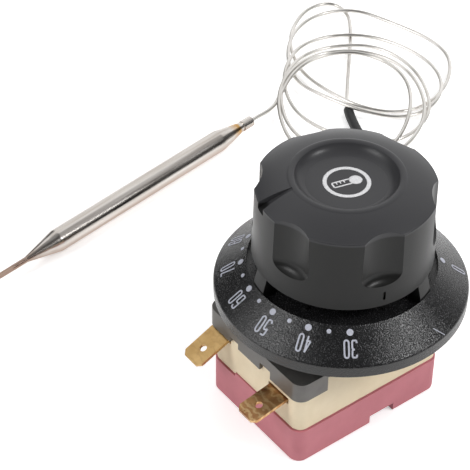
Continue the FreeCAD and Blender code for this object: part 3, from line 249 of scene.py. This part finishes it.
# plain finishes: colour and roughness drift with the blotches, and the grain is the bump.
# A top is painted sheen: a paler colour on the upper faces, with the heights where it begins and is full,
# and flecks are painted glints, pale grain on it.
finishes = {
    # in knobBlack and dialBlack the top is painted sheen: the grip's crown and the dial's cone paler than
    # the walls below
    "knobBlack": {"dark": (22, 22, 22), "light": (28, 28, 27), "rough": (0.3, 0.36), "specular": 0.25,
                  "grainScale": 5200, "blotchScale": 90, "bump": 0.12, "depth": 0.05,
                  "top": ((59, 59, 61), 58.8, 59.3)},
    "dialBlack": {"dark": (12, 12, 12), "light": (17, 17, 17), "rough": (0.2, 0.25), "specular": 0.5,
                  "grainScale": 3400, "blotchScale": 90, "bump": 1.0, "depth": 0.1,
                  "top": ((25, 25, 26), 32.0, 32.6), "glintFleck": (57, 57, 59)},
    "pinkCeramic": {"dark": (190, 113, 123), "light": (202, 127, 136), "rough": (0.55, 0.68),
                    "grainScale": 2100, "blotchScale": 160, "bump": 0.25, "depth": 0.08},
    "creamCeramic": {"dark": (229, 212, 180), "light": (240, 225, 196), "rough": (0.55, 0.68),
                     "grainScale": 2100, "blotchScale": 160, "bump": 0.25, "depth": 0.08},
    "zincSteel": {"dark": (92, 90, 88), "light": (110, 108, 105), "rough": (0.4, 0.52), "metal": 0.5,
                  "grainScale": 2600, "blotchScale": 260, "bump": 0.2, "depth": 0.04},
    "shaftSteel": {"dark": (160, 160, 160), "light": (200, 200, 200), "rough": (0.2, 0.32), "metal": 1.0,
                   "grainScale": 3000, "blotchScale": 300, "bump": 0.1, "depth": 0.03},
    "brassPlain": {"dark": (188, 155, 103), "light": (204, 170, 116), "rough": (0.3, 0.42), "metal": 1.0,
                   "grainScale": 2600, "blotchScale": 240, "bump": 0.15, "depth": 0.03},
    "bronzeLeaf": {"dark": (186, 134, 88), "light": (214, 166, 118), "rough": (0.28, 0.4), "metal": 1.0,
                   "grainScale": 2600, "blotchScale": 200, "bump": 0.1, "depth": 0.03},
    "contactSilver": {"dark": (200, 200, 198), "light": (226, 226, 224), "rough": (0.2, 0.34),
                      "metal": 1.0, "grainScale": 2600, "blotchScale": 200, "bump": 0.1, "depth": 0.03},
    "wireMetal": {"dark": (204, 201, 196), "light": (236, 233, 229), "rough": (0.28, 0.38), "metal": 1.0,
                  "grainScale": 3400, "blotchScale": 140, "bump": 0.1, "depth": 0.02},
    "pinSteel": {"dark": (84, 82, 80), "light": (116, 113, 110), "rough": (0.3, 0.42), "metal": 1.0,
                 "grainScale": 2600, "blotchScale": 200, "bump": 0.1, "depth": 0.03},
    "sleeveBlack": {"dark": (24, 24, 25), "light": (38, 38, 40), "rough": (0.5, 0.6),
                    "grainScale": 2600, "blotchScale": 220, "bump": 0.3, "depth": 0.05},
}
glintRange = (0.58, 0.68)  # painted glints: how strong the grain is where a glint fleck begins and is full


def makeFinish(name, look):
    mat, tree, shader = newMaterial(name)
    grain, blotch = surface(tree, look["grainScale"], look["blotchScale"])
    color = mixColor(tree, mapValue(tree, blotch, wideNoise), look["dark"], look["light"])
    # painted sheen: the part above the given height turns paler
    if "top" in look:
        sheenTone, begin, full = look["top"]
        upper = mapValue(tree, splitAxes(tree, texCoord(tree))["Z"], (begin * mm, full * mm))
        color = mixColor(tree, upper, color, sheenTone)
        # painted glints: pale flecks where the grain is strong, on the painted sheen
        if "glintFleck" in look:
            glintFlecks = mathNode(tree, "MULTIPLY", mapValue(tree, grain, glintRange), upper)
            color = mixColor(tree, glintFlecks, color, look["glintFleck"])
    fillShader(tree, shader, color, blotch, grain, look)
    return mat


finish = {name: makeFinish(name, look) for name, look in finishes.items()}

# drawn steel of the bulb and its collar, with places measured from the bulb's middle
bulbSteel = {
    "dark": (184, 177, 170), "light": (216, 211, 206), "rough": (0.16, 0.28), "metal": 1.0,
    "streaks": 900, "stretch": 0.04, "detail": 4, "bump": 0.3, "depth": 0.04,
    "heat": ((190, 150, 92), (33.5, 36.5), (36.8, 37.6)),  # a tint, where it comes and where it goes
    "stainsAndShade": [((140, 112, 96), "Y", (-41.0, -34.0), (0.8, 0.0)),  # the pinched tail
               ((168, 140, 122), "Z", (-1.1, 0.7), (0.75, 0.0))],  # the underside, with painted shade: darker and browner there
}


def makeBulbSteel(look):
    mat, tree, shader = newMaterial("bulbSteel")
    centre = tree.nodes.new("ShaderNodeMapping")  # the bulb's axis becomes Y, and its middle the origin
    centre.vector_type = "TEXTURE"
    centre.inputs["Location"].default_value = [v * mm for v in bulb["middle"]]
    centre.inputs["Rotation"].default_value = (0, 0, math.radians(bulb["turn"]))
    tree.links.new(texCoord(tree), centre.inputs["Vector"])
    axes = splitAxes(tree, centre.outputs["Vector"])
    stretch = tree.nodes.new("ShaderNodeMapping")
    stretch.inputs["Scale"].default_value = (1, look["stretch"], 1)
    tree.links.new(centre.outputs["Vector"], stretch.inputs["Vector"])
    streaks = noise(tree, stretch.outputs["Vector"], look["streaks"], look["detail"])
    color = mixColor(tree, mapValue(tree, streaks, tightNoise), look["dark"], look["light"])
    tint, comes, goes = look["heat"]
    warmUp = mapValue(tree, axes["Y"], [v * mm for v in comes])
    warmDown = mapValue(tree, axes["Y"], [v * mm for v in goes], (1.0, 0.0))
    color = mixColor(tree, mathNode(tree, "MULTIPLY", warmUp, warmDown), color, tint)
    # a stain on the pinched tail, and painted shade on the underside
    for stainAndShade, axis, span, amount in look["stainsAndShade"]:
        color = mixColor(tree, mapValue(tree, axes[axis], [v * mm for v in span], amount), color, stainAndShade)
    fillShader(tree, shader, color, streaks, streaks, look)
    return mat


finish["bulbSteel"] = makeBulbSteel(bulbSteel)

# brass of the two tabs: clouds, and rings of stain lines over them
tabBrass = {
    "brassStained": {"dark": (146, 100, 64), "light": (204, 156, 104), "line": (244, 218, 164),
                     "lineFrom": 0.5, "amount": 0.42},
    "brassSpotted": {"dark": (182, 147, 94), "light": (214, 179, 122), "line": (128, 90, 54),
                     "lineFrom": 0.72, "amount": 0.16},
}
tabRings = {"Scale": 210.0, "Distortion": 7.0, "Detail": 4.0, "Detail Scale": 2.4}
tabClouds = {"scale": 210, "detail": 3, "rough": (0.26, 0.4), "bump": 0.15, "depth": 0.03, "metal": 0.8}


def makeTabBrass(name, look):
    mat, tree, shader = newMaterial(name)
    coord = texCoord(tree)
    rings = tree.nodes.new("ShaderNodeTexWave")
    rings.wave_type = "RINGS"
    for key, value in tabRings.items():
        rings.inputs[key].default_value = value
    tree.links.new(coord, rings.inputs["Vector"])
    clouds = noise(tree, coord, tabClouds["scale"], tabClouds["detail"])
    color = mixColor(tree, mapValue(tree, clouds, tightNoise), look["dark"], look["light"])
    lines = mapValue(tree, rings.outputs["Fac"], (look["lineFrom"], 1.0), (0.0, look["amount"]))
    color = mixColor(tree, lines, color, look["line"])
    fillShader(tree, shader, color, clouds, clouds, tabClouds)
    return mat


for name, look in tabBrass.items():
    finish[name] = makeTabBrass(name, look)

prints = {"printPale": (190, 192, 204), "printWhite": (226, 226, 228)}
ink = {"grainScale": 3000, "blotchScale": 400, "drift": 14, "rough": (0.5, 0.62), "bump": 0.2,
       "depth": 0.03}


def makePrint(name, color):  # ink that the grain darkens a little
    mat, tree, shader = newMaterial(name)
    grain, blotch = surface(tree, ink["grainScale"], ink["blotchScale"])
    darker = [c - ink["drift"] for c in color]
    grained = mixColor(tree, mapValue(tree, grain, tightNoise), darker, color)
    fillShader(tree, shader, grained, blotch, grain, ink)
    return mat


for name, color in prints.items():
    finish[name] = makePrint(name, color)
print("finishes:", len(finish))


def dress(obj, name):
    obj.data.materials.clear()
    obj.data.materials.append(finish[name])


finishNodes = {
    "knobBlack": ["knob_grip"],
    "dialBlack": ["dial_ring"],
    "zincSteel": ["mounting_bracket", "base_cover", "switch_lever", "diaphragm_capsule"],
    "creamCeramic": ["upper_housing", "lever_button", "push_pin"],
    "pinkCeramic": ["base_housing"],
    "shaftSteel": ["control_shaft", "retaining_ring", "stop_disc", "knob_clip_spring", "clamp_screws",
                   "lever_pivot_pin", "snap_spring", "calibration_screw"],
    "brassPlain": ["shaft_bush", "adjusting_nut"],
    "brassSpotted": ["terminal_left"],
    "brassStained": ["terminal_right"],
    "contactSilver": ["fixed_contact", "moving_contact"],
    "bronzeLeaf": ["contact_arm"],
    "pinSteel": ["notch_pin"],
    "bulbSteel": ["braze_collar", "sensor_bulb"],
}
for name, wearers in finishNodes.items():
    for node in wearers:
        dress(nodes[node], name)


def smooth(mesh):
    for face in mesh.polygons:
        face.use_smooth = True


# sleeve over the lead: a tube with an open end
sleeve = {"outer": 1.4, "inner": 0.8, "sides": 20, "end": -79.5}  # its end is where the lead passes this x


def tubeAlong(name, path, outer, inner, sides):
    bm = bmesh.new()
    up = Vector((0, 0, 1))
    angles = [2 * math.pi * k / sides for k in range(sides)]
    rows = []
    for i, point in enumerate(path):
        ahead = (path[min(i + 1, len(path) - 1)] - path[max(i - 1, 0)]).normalized()
        side = ahead.cross(up).normalized()
        lift = side.cross(ahead)
        around = [side * math.cos(a) + lift * math.sin(a) for a in angles]
        rows.append([[bm.verts.new(point + way * r * mm) for way in around] for r in (outer, inner)])
    for (outA, inA), (outB, inB) in zip(rows, rows[1:]):
        for k in range(sides):
            n = (k + 1) % sides
            bm.faces.new((outA[k], outA[n], outB[n], outB[k]))
            bm.faces.new((inA[k], inB[k], inB[n], inA[n]))
    for outRow, inRow in (rows[0], rows[-1]):
        for k in range(sides):
            n = (k + 1) % sides
            bm.faces.new((outRow[k], inRow[k], inRow[n], outRow[n]))
    bmesh.ops.recalc_face_normals(bm, faces=bm.faces)
    mesh = bpy.data.meshes.new(name)
    bm.to_mesh(mesh)
    bm.free()
    smooth(mesh)
    return link(bpy.data.objects.new(name, mesh))


leadEnd = next(i for i, p in enumerate(capillaryPath) if p.x < sleeve["end"] * mm)
leadPath = capillaryPath[:leadEnd]
sleeveTube = tubeAlong("sleeveTube", leadPath, sleeve["outer"], sleeve["inner"], sleeve["sides"])
dress(sleeveTube, "sleeveBlack")
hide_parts("insulating_sleeve")
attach(sleeveTube, "housing")

dress(capillaryWire, "wireMetal")
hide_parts("capillary_lead", "capillary_coil", "capillary_end")
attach(capillaryWire, "housing")
print("capillary and sleeve done")


# prints on the dial's cone: numbers, dots and marks
dial = {
    "mouth": 21.6, "top": 37.9,  # the cone's inner edge
    "edge": 29.0, "drop": 5.6,  # its outer edge
    "tens": range(30, 111, 10), "zero": 55.0,  # the numbers after 0, and where 0 is round the dial
    "first": -35.1, "step": -22.9,  # where 30 is, and from each number to the next
    "tensAt": 25.7, "zeroAt": 26.6, "dotsAt": 22.8,  # radius of each ring
    "digit": (0.98, 3.7), "gap": 0.74, "pen": 0.2,  # a digit's width and height, the gap and the pen
    "dot": 0.75, "smallDot": 0.5, "dotDepth": 0.08, "dotLift": 0.01,
}
coneSlope = math.atan2(dial["drop"], dial["edge"] - dial["mouth"])
press = {"flat": 0.12, "lift": 0.02}  # how flat a drawn line is pressed, and how far it is lifted

# strokes of each digit in a square of 1, and whether the pen closes them
digits = {
    "0": [([(0, .3), (0, .7), (.02, .96), (.5, 1.04), (.98, .96), (1, .7), (1, .3), (.98, .04),
            (.5, -.04), (.02, .04)], True)],
    "1": [([(.1, .8), (.55, 1)], False), ([(.55, 1), (.55, 0)], False)],
    "3": [([(0, .84), (0, 1), (.5, 1), (1, 1), (1, .78), (1, .53), (.45, .53)], False),
          ([(.45, .53), (1, .53), (1, .28), (1, 0), (.5, 0), (0, 0), (0, .16)], False)],
    "4": [([(.72, 0), (.72, 1)], False), ([(.72, 1), (0, .3)], False), ([(0, .3), (1, .3)], False)],
    "5": [([(1, 1), (.08, 1)], False), ([(.08, 1), (.04, .55)], False),
          ([(.04, .55), (.3, .64), (1, .66), (1, .33), (1, 0), (.5, 0), (0, 0), (0, .16)], False)],
    "6": [([(0, .2), (0, .4), (0, .58), (.5, .58), (1, .58), (1, .4), (1, .2), (1, 0), (.5, 0),
            (0, 0)], True),
          ([(0, .3), (0, .8), (0, 1), (.5, 1), (.95, 1), (1, .85)], False)],
    "7": [([(0, 1), (1, 1)], False), ([(1, 1), (.35, 0)], False)],
    "8": [([(.05, .7), (.05, .86), (.05, 1), (.5, 1), (.95, 1), (.95, .86), (.95, .7), (.95, .54),
            (.5, .54), (.05, .54)], True),
          ([(0, .18), (0, .38), (0, .54), (.5, .54), (1, .54), (1, .38), (1, .18), (1, 0), (.5, 0),
            (0, 0)], True)],
}
digits["9"] = [([(1 - x, 1 - y) for x, y in stroke], closed) for stroke, closed in digits["6"]]


def penMesh(name, strokes):  # strokes are points, whether closed, and the pen's radius
    parts = bmesh.new()
    for points, closed, pen in strokes:
        flat = [(x, y, 0) for x, y in points]
        pencil = splineCurve(name, flat, pen, closed, steps=5, roundness=2)
        mesh = evaluatedMesh(pencil)
        parts.from_mesh(mesh)
        bpy.data.objects.remove(pencil)
        bpy.data.meshes.remove(mesh)
    for vert in parts.verts:
        vert.co.z = vert.co.z * press["flat"] + press["lift"] * mm
    bmesh.ops.recalc_face_normals(parts, faces=parts.faces)
    mesh = bpy.data.meshes.new(name)
    parts.to_mesh(mesh)
    parts.free()
    smooth(mesh)
    return mesh


def onDial(point, turn, radius):  # from the flat drawing to the dial's cone, tops outwards
    r = radius * mm + point.y * math.cos(coneSlope)
    angle = math.radians(turn) - point.x / r
    z = dial["top"] * mm - (r - dial["mouth"] * mm) * math.tan(coneSlope)
    r += point.z * math.sin(coneSlope)
    return Vector((r * math.cos(angle), r * math.sin(angle), z + point.z * math.cos(coneSlope)))


def rideKnob(obj):
    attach(obj, "knob")


def printOnDial(name, mesh, turn, radius):
    for vert in mesh.vertices:
        vert.co = onDial(vert.co, turn, radius)
    obj = link(bpy.data.objects.new(name, mesh))
    dress(obj, "printPale")
    rideKnob(obj)


def numberMesh(number):  # one number, centred
    wide, high = dial["digit"]
    text = str(number)
    across = len(text) * wide + (len(text) - 1) * dial["gap"]
    strokes = []
    for i, digit in enumerate(text):
        shift = i * (wide + dial["gap"]) - across / 2
        for points, closed in digits[digit]:
            placed = [(x * wide + shift, (y - 0.5) * high) for x, y in points]
            strokes.append((placed, closed, dial["pen"]))
    return penMesh("number%d" % number, strokes)


printOnDial("dialNumber0", numberMesh(0), dial["zero"], dial["zeroAt"])
for i, number in enumerate(dial["tens"]):
    turn = dial["first"] + i * dial["step"]
    printOnDial("dialNumber%d" % number, numberMesh(number), turn, dial["tensAt"])


def makeDotTree():  # round dots along a ring, tilted with the cone
    tree = bpy.data.node_groups.new("dotsOnRing", "GeometryNodeTree")
    tree.interface.new_socket("Geometry", in_out="OUTPUT", socket_type="NodeSocketGeometry")
    for name, kind in (("Count", "Int"), ("First", "Float"), ("Step", "Float"), ("Ring Radius", "Float"),
                       ("Height", "Float"), ("Slope", "Float"), ("Dot Radius", "Float"),
                       ("Thickness", "Float"), ("Sides", "Int"), ("Material", "Material")):
        tree.interface.new_socket(name, in_out="INPUT", socket_type="NodeSocket" + kind)
    make, join = tree.nodes.new, tree.links.new
    start = make("NodeGroupInput")
    end = make("NodeGroupOutput")
    points = make("GeometryNodePoints")
    join(start.outputs["Count"], points.inputs["Count"])
    angle = make("ShaderNodeMath")
    angle.operation = "MULTIPLY_ADD"
    join(make("GeometryNodeInputIndex").outputs["Index"], angle.inputs[0])
    join(start.outputs["Step"], angle.inputs[1])
    join(start.outputs["First"], angle.inputs[2])
    place = make("ShaderNodeCombineXYZ")
    for name, axis in (("COSINE", "X"), ("SINE", "Y")):
        wave = make("ShaderNodeMath")
        wave.operation = name
        join(angle.outputs[0], wave.inputs[0])
        join(mathNode(tree, "MULTIPLY", wave.outputs[0], start.outputs["Ring Radius"]), place.inputs[axis])
    join(start.outputs["Height"], place.inputs["Z"])
    join(place.outputs["Vector"], points.inputs["Position"])
    turn = make("ShaderNodeCombineXYZ")
    join(start.outputs["Slope"], turn.inputs["Y"])
    join(angle.outputs[0], turn.inputs["Z"])
    dot = make("GeometryNodeMeshCylinder")
    join(start.outputs["Sides"], dot.inputs["Vertices"])
    join(start.outputs["Dot Radius"], dot.inputs["Radius"])
    join(start.outputs["Thickness"], dot.inputs["Depth"])
    spread = make("GeometryNodeInstanceOnPoints")
    join(points.outputs[0], spread.inputs["Points"])
    join(dot.outputs["Mesh"], spread.inputs["Instance"])
    join(turn.outputs["Vector"], spread.inputs["Rotation"])
    real = make("GeometryNodeRealizeInstances")
    join(spread.outputs["Instances"], real.inputs["Geometry"])
    paint = make("GeometryNodeSetMaterial")
    join(real.outputs["Geometry"], paint.inputs["Geometry"])
    join(start.outputs["Material"], paint.inputs["Material"])
    join(paint.outputs["Geometry"], end.inputs["Geometry"])
    return tree


dotTree = makeDotTree()
dotSides = 28


def growDots(name, values):  # run the tree once and keep its result as a plain mesh
    seed = link(bpy.data.objects.new(name, bpy.data.meshes.new(name)))
    modifier = seed.modifiers.new("tree", "NODES")
    modifier.node_group = dotTree
    for socket in dotTree.interface.items_tree:
        if socket.in_out == "INPUT":
            modifier[socket.identifier] = values[socket.name]
    mesh = evaluatedMesh(seed)
    seed.modifiers.remove(modifier)
    seed.data = mesh
    mesh.name = name
    rideKnob(seed)


dots = {  # count, where the first one is, radius
    "dialDots": (len(dial["tens"]), dial["first"], dial["dot"]),
    "dialDotsSmall": (len(dial["tens"]) - 1, dial["first"] + dial["step"] / 2, dial["smallDot"]),
    "dialDotZero": (1, dial["zero"], dial["dot"]),
}
dotHeight = dial["top"] + dial["dotLift"] - (dial["dotsAt"] - dial["mouth"]) * math.tan(coneSlope)
for name, (count, first, radius) in dots.items():
    growDots(name, {
        "Count": count, "First": math.radians(first), "Step": math.radians(dial["step"]),
        "Ring Radius": dial["dotsAt"] * mm, "Height": dotHeight * mm, "Slope": coneSlope,
        "Dot Radius": radius * mm, "Thickness": dial["dotDepth"] * mm, "Sides": dotSides,
        "Material": finish["printPale"]})

# small bosses on the floor of the gap under the grip
bosses = {"count": 6, "first": -67.2, "step": 60.8, "at": 17.1, "radius": 0.55,
          "floor": 36.5, "high": 0.7, "sunk": 0.1}
bossHeight = bosses["floor"] + bosses["high"] / 2 - bosses["sunk"]
growDots("gapBosses", {
    "Count": bosses["count"], "First": math.radians(bosses["first"]), "Step": math.radians(bosses["step"]),
    "Ring Radius": bosses["at"] * mm, "Height": bossHeight * mm, "Slope": 0.0,
    "Dot Radius": bosses["radius"] * mm, "Thickness": bosses["high"] * mm, "Sides": dotSides,
    "Material": finish["dialBlack"]})

marks = {  # a stroke, the pen's radius, where it is round the dial, and its ring's radius
    "dialNick": ([(0, -0.12), (0, 0.12)], 0.12, 0.3, 23.2),
    "dialTick": ([(0.78, -1.35), (-0.78, 1.35)], 0.09, 11.1, 27.75),
}
for name, (stroke, pen, turn, radius) in marks.items():
    printOnDial(name, penMesh(name, [(stroke, False, pen)]), turn, radius)
print("numbers, dots and bosses done")

# round sign in the grip's dish: a ring round a plain bulb gauge
sign = {
    "floor": 60.2, "turn": 76.0,
    "ring": 4.85, "ringPen": 0.48, "ringPoints": 40,
    "ball": 0.75, "ballAt": 2.1, "ballPen": 0.8,
    "tube": (1.2, -3.3), "half": 0.8, "bend": 0.9, "tubePen": 0.2,  # from the ball to its round end
    "ticks": (-2.3, -1.4, -0.5), "tick": 0.75, "tickPen": 0.15,
}


def signMesh():
    steps = [2 * math.pi * k / sign["ringPoints"] for k in range(sign["ringPoints"])]
    ring = [(sign["ring"] * math.cos(a), sign["ring"] * math.sin(a)) for a in steps]
    ball = [(sign["ballAt"] + sign["ball"] * math.cos(a), sign["ball"] * math.sin(a)) for a in steps[::4]]
    near, far = sign["tube"]
    half = sign["half"]
    bend = far + sign["bend"]
    tube = [(near, half), (bend, half), (far, half), (far, 0), (far, -half), (bend, -half), (near, -half)]
    strokes = [(ring, True, sign["ringPen"]), (ball, True, sign["ballPen"])]
    strokes.append((tube, False, sign["tubePen"]))
    for x in sign["ticks"]:
        strokes.append(([(x, sign["tick"]), (x, 0.0)], False, sign["tickPen"]))
    return penMesh("knobSign", strokes)


knobSign = link(bpy.data.objects.new("knobSign", signMesh()))
signTurn = Matrix.Rotation(math.radians(sign["turn"]), 4, "Z")
knobSign.data.transform(Matrix.Translation((0, 0, sign["floor"] * mm)) @ signTurn)
dress(knobSign, "printWhite")
rideKnob(knobSign)
print("sign done")


# floor and light, in metres
studio = {
    "floorReach": 3, "floorZ": -0.0002,
    "floorTones": ((250, 250, 250), (255, 255, 255)), "floorBlotch": 6, "floorRough": 0.9,
    "glow": (0.45, 1.0), "glowAt": (0.35, 1.0),  # the floor's own light, and how far away it has each
    "level": 0.85, "seen": 1.15,  # the room's light as it falls on the part, and as reflections show it
    "dim": [  # darker parts of the room: azimuth, height, where each begins and is full, level
        (-37, 0, 86, 76, 0.1), (0, 90, 30, 18, 0.3), (-165, 12, 36, 22, 0.05), (50, 13, 40, 30, 0.08),
        (68, 62, 26, 16, 0.55)],
    "lampReach": 0.9, "aim": (0, 0, 0.03),
    "lamps": {  # toward, size, watts, seen in reflections
        "rightPanel": ((0.58, 0.28, 0.76), 0.9, 3.7, False),
        "leftGlare": ((-0.17, -0.80, 0.575), 0.34, 3.1, True),
        "rightGlare": ((0.63, 0.41, 0.66), 0.18, 2.5, True)},
}


def seenMask(tree):  # 1 for what the camera sees, also in metal and glass
    rays = tree.nodes.new("ShaderNodeLightPath").outputs
    mask = mathNode(tree, "MAXIMUM", rays["Is Camera Ray"], rays["Is Glossy Ray"])
    return mathNode(tree, "MAXIMUM", mask, rays["Is Transmission Ray"])


def makeFloor():
    mat, tree, shader = newMaterial("floorWhite")
    blotch = noise(tree, texCoord(tree), studio["floorBlotch"], 4.0)
    tree.links.new(mixColor(tree, blotch, *studio["floorTones"]), shader.inputs["Base Color"])
    shader.inputs["Roughness"].default_value = studio["floorRough"]
    shader.inputs["Specular IOR Level"].default_value = 0.0
    shader.inputs["Emission Color"].default_value = (1, 1, 1, 1)
    away = tree.nodes.new("ShaderNodeVectorMath")
    away.operation = "LENGTH"
    tree.links.new(texCoord(tree), away.inputs[0])
    glow = mapValue(tree, away.outputs["Value"], studio["glowAt"], studio["glow"])
    tree.links.new(mathNode(tree, "MULTIPLY", glow, seenMask(tree)), shader.inputs["Emission Strength"])
    return mat


reach = studio["floorReach"]
floorMesh = bpy.data.meshes.new("studioFloor")
corners = [(-reach, -reach, 0), (reach, -reach, 0), (reach, reach, 0), (-reach, reach, 0)]
floorMesh.from_pydata(corners, [], [(0, 1, 2, 3)])
floorMesh.materials.append(makeFloor())
floor = link(bpy.data.objects.new("studioFloor", floorMesh))
floor.location.z = studio["floorZ"]

for name, (toward, size, watts, seen) in studio["lamps"].items():
    lamp = bpy.data.lights.new(name, "AREA")
    lamp.shape = "SQUARE"
    lamp.size = size
    lamp.energy = watts
    panel = link(bpy.data.objects.new(name, lamp))
    panel.location = Vector(toward).normalized() * studio["lampReach"] + Vector(studio["aim"])
    panel.rotation_euler = Vector(toward).to_track_quat("Z", "Y").to_euler()
    panel.visible_glossy = seen


def makeWorld():
    world = bpy.data.worlds.new("studioWorld")
    world.use_nodes = True
    tree = world.node_tree
    background = tree.nodes["Background"]
    background.inputs["Color"].default_value = (1, 1, 1, 1)
    direction = texCoord(tree, "Generated")
    strength = mapValue(tree, seenMask(tree), (0.0, 1.0), (studio["level"], studio["seen"]))
    for azimuth, height, begin, full, level in studio["dim"]:
        a, h = math.radians(azimuth), math.radians(height)
        lean = tree.nodes.new("ShaderNodeVectorMath")
        lean.operation = "DOT_PRODUCT"
        lean.inputs[1].default_value = (math.cos(a) * math.cos(h), math.sin(a) * math.cos(h), math.sin(h))
        tree.links.new(direction, lean.inputs[0])
        cone = [math.cos(math.radians(angle)) for angle in (begin, full)]
        strength = mathNode(tree, "MULTIPLY", strength,
                            mapValue(tree, lean.outputs["Value"], cone, (1.0, level)))
    cameraRay = tree.nodes.new("ShaderNodeLightPath").outputs["Is Camera Ray"]
    strength = mathNode(tree, "MAXIMUM", strength, cameraRay)  # plain white behind the object
    tree.links.new(strength, background.inputs["Strength"])
    return world


scene.world = makeWorld()
scene.view_settings.view_transform = "Standard"
print("floor and lights done")

bpy.context.view_layer.update()
